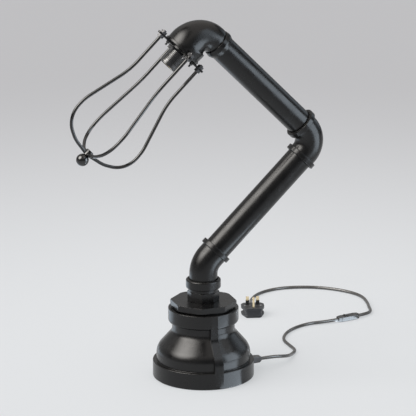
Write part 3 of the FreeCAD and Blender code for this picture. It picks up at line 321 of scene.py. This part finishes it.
def zinc_plate():
    """Zinc-plated steel with a faint drawn grain."""
    shader = Shader("zinc_plate", (0.62, 0.62, 0.63), 0.32, metallic=1.0)
    grain = shader.noise(400.0, 3.0, 0.6, shader.stretched(DRAWN_GRAIN["zinc"]))
    shader.link("Base Color", shader.mix(shader.vary(grain), (0.52, 0.53, 0.54), (0.70, 0.70, 0.69)))
    shader.link("Roughness", shader.vary(grain, 0.24, 0.42))
    shader.bump(grain, 0.02 * MM)
    return shader.done()


def brass():
    """Bright drawn brass of the pins and contacts."""
    shader = Shader("brass", (0.92, 0.76, 0.48), 0.24, metallic=1.0)
    grain = shader.noise(600.0, 2.0, 0.5, shader.stretched(DRAWN_GRAIN["brass"]))
    shader.link("Base Color", shader.mix(shader.vary(grain), (0.86, 0.68, 0.40), (0.98, 0.86, 0.60)))
    shader.link("Roughness", shader.vary(grain, 0.16, 0.32))
    shader.edge_mask(0.3 * MM)
    shader.bump(grain, 0.01 * MM)
    return shader.done()


def moulded_plastic(name, colour, roughness, texture=0.03 * MM, gloss=0.5, edge=0.5 * MM):
    """Injection-moulded plastic with a spark-eroded grain and slightly polished edges."""
    shader = Shader(name, colour, roughness, Specular_IOR_Level=gloss)
    edges = shader.edge_mask(edge)
    tone = shader.vary(shader.noise(30.0))
    lighter = tuple(value * LIGHTER_PLASTIC for value in colour)
    polished = tuple(value * POLISHED_PLASTIC for value in colour)
    body = shader.mix(tone, colour, lighter)
    shader.link("Base Color", shader.mix(edges, body, polished))
    shine = shader.maths("MULTIPLY", edges, 0.12)
    shader.link("Roughness", shader.maths("SUBTRACT", roughness + 0.04, shine))
    shader.bump(shader.noise(1200.0), texture)
    return shader.done()


def rubber(name, colour, roughness):
    """Matt rubber with a fine pebble and a little bloom."""
    shader = Shader(name, colour, roughness)
    bloom = shader.span(shader.noise(45.0, 3.0), 0.4, 0.75, 0.0, 0.35)
    bloomed = tuple(value * RUBBER_BLOOM for value in colour)
    shader.link("Base Color", shader.mix(bloom, colour, bloomed))
    shader.link("Roughness", shader.vary(shader.noise(90.0), roughness - 0.08, roughness + 0.06))
    shader.bump(shader.noise(1500.0), 0.04 * MM)
    return shader.done()


def glazed_ceramic(name, colour):
    """White glazed steatite with faint specks."""
    shader = Shader(name, colour, 0.22, Coat_Weight=0.4, Coat_Roughness=0.08)
    specks = shader.span(shader.noise(800.0), 0.66, 0.74, 0.0, 0.4)
    shader.link("Base Color", shader.mix(specks, colour, (0.45, 0.40, 0.33)))
    shader.link("Roughness", shader.vary(shader.noise(80.0), 0.18, 0.3))
    shader.bump(shader.noise(120.0), 0.03 * MM)
    return shader.done()


def cord_sheath():
    """Round PVC flex: smooth, softly shiny, with the faint lay of the cores below."""
    shader = Shader("cord_sheath", (0.08, 0.08, 0.08), 0.22, Specular_IOR_Level=1.0)
    tone = shader.vary(shader.noise(25.0, 3.0))
    shader.link("Base Color", shader.mix(tone, (0.062, 0.061, 0.060), (0.10, 0.098, 0.096)))
    shader.link("Roughness", shader.vary(shader.noise(60.0, 3.0), 0.16, 0.28))
    shader.bump(shader.noise(55.0, 1.0), 0.12 * MM)
    shader.bump(shader.noise(1400.0), 0.015 * MM)
    return shader.done()


def make_materials():
    """One procedural material for each slot of the record."""
    return {
        "black_iron": powder_coat(
            "black_iron", (0.006, 0.006, 0.0063), RUBBED_BLACK, roughness=0.25, peel=0.03 * MM,
        ),
        "black_pipe": powder_coat(
            "black_pipe", (0.005, 0.005, 0.0053), RUBBED_BLACK, roughness=0.24, peel=0.02 * MM,
        ),
        "black_wire": gloss_enamel(),
        "black_bolt": black_oxide(),
        "plate_steel": powder_coat(
            "plate_steel", (0.018, 0.018, 0.019), (0.09, 0.09, 0.09), roughness=0.42, peel=0.04 * MM,
        ),
        "zinc_steel": zinc_plate(),
        "pad_rubber": rubber("pad_rubber", (0.022, 0.022, 0.022), 0.85),
        "seal_rubber": rubber("seal_rubber", (0.004, 0.004, 0.004), 0.62),
        "nylon": moulded_plastic("nylon", (0.62, 0.60, 0.54), 0.45),
        "relief_plastic": moulded_plastic("relief_plastic", (0.13, 0.133, 0.14), 0.46),
        "cord_sheath": cord_sheath(),
        "switch_plastic": moulded_plastic(
            "switch_plastic", (0.018, 0.018, 0.019), 0.16, texture=0.01 * MM, gloss=1.0,
        ),
        "rocker_plastic": moulded_plastic(
            "rocker_plastic", (0.035, 0.036, 0.039), 0.24, texture=0.01 * MM,
        ),
        "plug_plastic": moulded_plastic("plug_plastic", (0.030, 0.034, 0.041), 0.36),
        "carrier_plastic": moulded_plastic("carrier_plastic", (0.050, 0.052, 0.056), 0.38),
        "sleeve_plastic": moulded_plastic(
            "sleeve_plastic", (0.012, 0.012, 0.012), 0.4, texture=0.01 * MM,
        ),
        "holder_plastic": moulded_plastic(
            "holder_plastic", (0.022, 0.023, 0.025), 0.16, texture=0.004 * MM, gloss=1.0, edge=0.05 * MM,
        ),
        "ceramic": glazed_ceramic("ceramic", (0.74, 0.72, 0.66)),
        "fuse_ceramic": glazed_ceramic("fuse_ceramic", (0.80, 0.78, 0.72)),
        "pin_brass": brass(),
    }


def paint(piece, material):
    piece.data.materials.clear()
    piece.data.materials.append(material)


def paint_cad_nodes(materials):
    """Give each carried-over CAD node the material of its slot."""
    for part in frame["record"]["subparts"]:
        paint(nodes[part["node"]], materials[part["material_slot"]])


# ------------------------------------------------------------------ studio

FLOOR_COLOUR = (0.30, 0.31, 0.33)     # what light on the floor meets
GLOW_NEAR = (0.445, 0.462, 0.472)     # added for the camera and for reflections, near the lamp
GLOW_FAR = (0.205, 0.205, 0.212)      # the same, where the floor recedes
GLOW_SPAN = (0.3, 2.8)                # metres from the lamp's foot
FLOOR_HALF_WIDTH = 20.0
BLACK = (0.0, 0.0, 0.0)
WARM = (1.0, 0.965, 0.92)
COOL = (0.80, 0.90, 1.0)

# Directions are in degrees: to the side, from the camera towards the view's right, and upwards.
KEY_SIDE = -66.0
KEY_SUN_HEIGHT = 42.0
KEY_SUN_SPREAD = 60.0
KEY_SUN_STRENGTH = 1.9

# Cards that face the lamp: side, height, distance and size, then strength and how they fade,
# in metres from their middle.
KEY_CARD = (KEY_SIDE, 47.0, 6.0, 9.0)
KEY_CARD_STRENGTH = 9.5
KEY_CARD_FADE = (0.3, 4.2)
RIM_CARD = (128.0, 22.0, 4.0, 3.0)
RIM_CARD_STRENGTH = 1.0
RIM_CARD_FADE = (0.4, 1.6)

# Cool cards: strength, and corners in metres towards the camera, to the right and up.
COOL_CARDS = {
    "card_right": (
        4.8, ((0.80, 1.15, 0.0), (-0.05, 1.15, 0.0), (-0.05, 1.15, 1.0), (0.80, 1.15, 1.0)),
    ),
    "card_right_top": (
        2.4, ((1.0, 1.05, 1.0), (0.35, 1.15, 1.0), (0.35, 1.15, 2.2), (1.0, 1.05, 2.2)),
    ),
    "card_right_low": (
        4.6,
        ((0.10, 0.035, 0.002), (0.377, 0.39, 0.002), (0.052, 0.52, 0.002), (0.068, 0.071, 0.002)),
    ),
    "card_left_back": (
        1.6,
        ((-0.15, -0.25, 0.002), (-0.60, -0.25, 0.002), (-0.60, -0.90, 0.002), (-0.15, -0.90, 0.002)),
    ),
    "card_switch": (
        7.0,
        ((-0.36, 0.275, 0.001), (-0.385, 0.325, 0.001), (-0.345, 0.350, 0.001), (-0.32, 0.300, 0.001)),
    ),
}

# The world's colour, and the part of each direction over which it turns into the next.
WORLD_FRONT = (0.17, 0.175, 0.18)
WORLD_BACK = (0.38, 0.38, 0.38)
WORLD_BACK_SPAN = (-0.4, 0.9)
WORLD_TOP = (0.95, 0.90, 0.85)
WORLD_TOP_SPAN = (0.3, 0.95)


def seen_directly(shader):
    """1 for camera, glossy and transmission rays, 0 for the light that reaches matt surfaces."""
    path = shader.add("ShaderNodeLightPath")
    seen = shader.maths("MAXIMUM", path.outputs["Is Camera Ray"], path.outputs["Is Glossy Ray"])
    return shader.maths("MAXIMUM", seen, path.outputs["Is Transmission Ray"])


def studio_material():
    """Pale paper floor: takes the shadow, and drifts to a soft grey in the distance."""
    shader = Shader("studio_paper", FLOOR_COLOUR, 1.0, Specular_IOR_Level=0.0)
    drift = shader.ease(shader.measure("LENGTH", shader.place), *GLOW_SPAN, 0.0, 1.0)
    shader.link("Emission Color", shader.mix(drift, GLOW_NEAR, GLOW_FAR))
    shader.link("Emission Strength", seen_directly(shader))
    return shader.done()


def flat_piece(name, corners):
    """Mesh of one face."""
    mesh = bpy.data.meshes.new(name)
    mesh.from_pydata(corners, [], [range(len(corners))])
    return add_object(name, mesh)


def make_studio():
    """Floor for the shadow."""
    far = FLOOR_HALF_WIDTH
    floor = flat_piece("studio_floor", [(-far, -far, 0), (far, -far, 0), (far, far, 0), (-far, far, 0)])
    paint(floor, studio_material())


def heading(side):
    """Level direction from the lamp, in degrees from the camera's side towards the view's right."""
    azimuth = math.radians(CAMERA_AZIMUTH + 180.0 - side)
    return Vector((math.sin(azimuth), math.cos(azimuth), 0.0))


def direction(side, height):
    """The same, raised by an angle above the level."""
    raised = math.radians(height)
    return heading(side) * math.cos(raised) + Vector((0.0, 0.0, math.sin(raised)))


def place_in_view(towards_camera, right, up):
    """Point given by how far it lies towards the camera and to the view's right of the lamp."""
    return heading(0.0) * towards_camera + heading(90.0) * right + Vector((0.0, 0.0, up))


def facing_lamp(side, height, distance, size):
    """Corners of a square that faces the lamp's foot from a distance."""
    towards = direction(side, height)
    across = heading(side + 90.0) * size / 2
    up = towards.cross(across)
    signs = ((-1, -1), (1, -1), (1, 1), (-1, 1))
    return [towards * distance + across * a + up * b for a, b in signs]


def make_key_sun():
    """Distant soft light."""
    data = bpy.data.lights.new("key", "SUN")
    data.energy = KEY_SUN_STRENGTH
    data.color = WARM
    data.angle = math.radians(KEY_SUN_SPREAD)
    light = add_object("key", data)
    light.visible_camera = False
    towards = direction(KEY_SIDE, KEY_SUN_HEIGHT)
    light.rotation_euler = towards.to_track_quat("Z", "Y").to_euler()


def light_card(name, corners, strength, colour, fade=None):
    """Bright card that only shows in the lamp's gloss."""
    card = flat_piece(name, corners)
    shader = Shader(name, BLACK, 1.0, Specular_IOR_Level=0.0)
    shader.set("Emission Color", (*colour, 1.0))
    shader.set("Emission Strength", strength)
    if fade:
        middle = sum(corners, Vector()) / len(corners)
        distance = shader.measure("DISTANCE", shader.place, middle)
        shader.link("Emission Strength", shader.ease(distance, *fade, strength, 0.0))
    paint(card, shader.done())
    card.visible_camera = False
    card.visible_diffuse = False
    card.visible_shadow = False


def make_lights():
    """Warm key from the upper left, a faint rim from behind and cool cards for the gloss."""
    make_key_sun()
    light_card("card_key", facing_lamp(*KEY_CARD), KEY_CARD_STRENGTH, WARM, KEY_CARD_FADE)
    light_card("card_rim", facing_lamp(*RIM_CARD), RIM_CARD_STRENGTH, COOL, RIM_CARD_FADE)
    for name, (strength, corners) in COOL_CARDS.items():
        light_card(name, [place_in_view(*corner) for corner in corners], strength, COOL)


def make_world():
    """Even studio light: dim in front, paler behind the lamp and warm from above."""
    world = bpy.data.worlds.new("studio")
    world.use_nodes = True
    sky = NodeTree(world.node_tree)
    view = sky.add("ShaderNodeTexCoord").outputs["Generated"]
    away = -heading(0.0)
    up = Vector((0, 0, 1))
    colour = WORLD_FRONT
    for axis, span, end in ((away, WORLD_BACK_SPAN, WORLD_BACK), (up, WORLD_TOP_SPAN, WORLD_TOP)):
        share = sky.ease(sky.measure("DOT_PRODUCT", view, axis), *span, 0.0, 1.0)
        colour = sky.mix(share, colour, end)
    sky.feed(sky.tree.nodes["Background"].inputs["Color"], colour)
    bpy.context.scene.world = world


# ------------------------------------------------------------------ build

make_camera()
cord_one = make_cord(
    "lead_to_switch", CORD_TO_SWITCH, "cord_to_switch",
)
cord_two = make_cord(
    "lead_to_plug", CORD_TO_PLUG, "cord_to_plug",
)
materials = make_materials()
paint_cad_nodes(materials)
paint(cord_one, materials["cord_sheath"])
paint(cord_two, materials["cord_sheath"])
make_studio()
make_lights()
make_world()
bpy.context.scene.view_settings.view_transform = "Standard"


bpy.context.view_layer.update()
